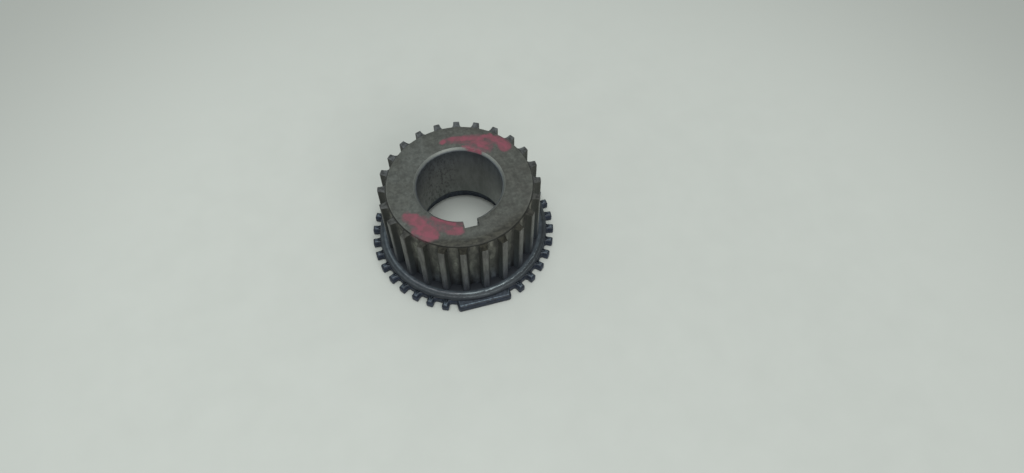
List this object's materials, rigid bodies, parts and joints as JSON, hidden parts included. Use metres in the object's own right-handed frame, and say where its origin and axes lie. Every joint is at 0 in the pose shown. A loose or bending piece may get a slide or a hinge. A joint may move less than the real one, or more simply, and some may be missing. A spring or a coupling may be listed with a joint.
{
  "type": "timing belt pulley",
  "caption": "Crankshaft timing belt pulley: curved-groove toothed body with keyed bore, belt guide flange and toothed signal rotor stacked behind it.",
  "frame": {"origin": "on the bore axis, in the plane of the signal rotor's rear face", "axes": "+Z along the bore axis towards the front (hub) face, -Y from the axis towards the key slot, +X to the right of the key slot seen from the front with the slot at the bottom"},
  "size_m": [0.0714, 0.0704, 0.0325],
  "materials": {
    "sintered_steel": "matt sintered steel, oily, worn bright on the tooth tips",
    "flange_steel": "dark pressed steel with edges worn bright",
    "rotor_steel": "blue-black oxide coated steel"
  },
  "bodies": {
    "root": {"toothed_body": "sintered_steel", "guide_flange": "flange_steel", "signal_rotor": "rotor_steel"}
  },
  "joints": []
}
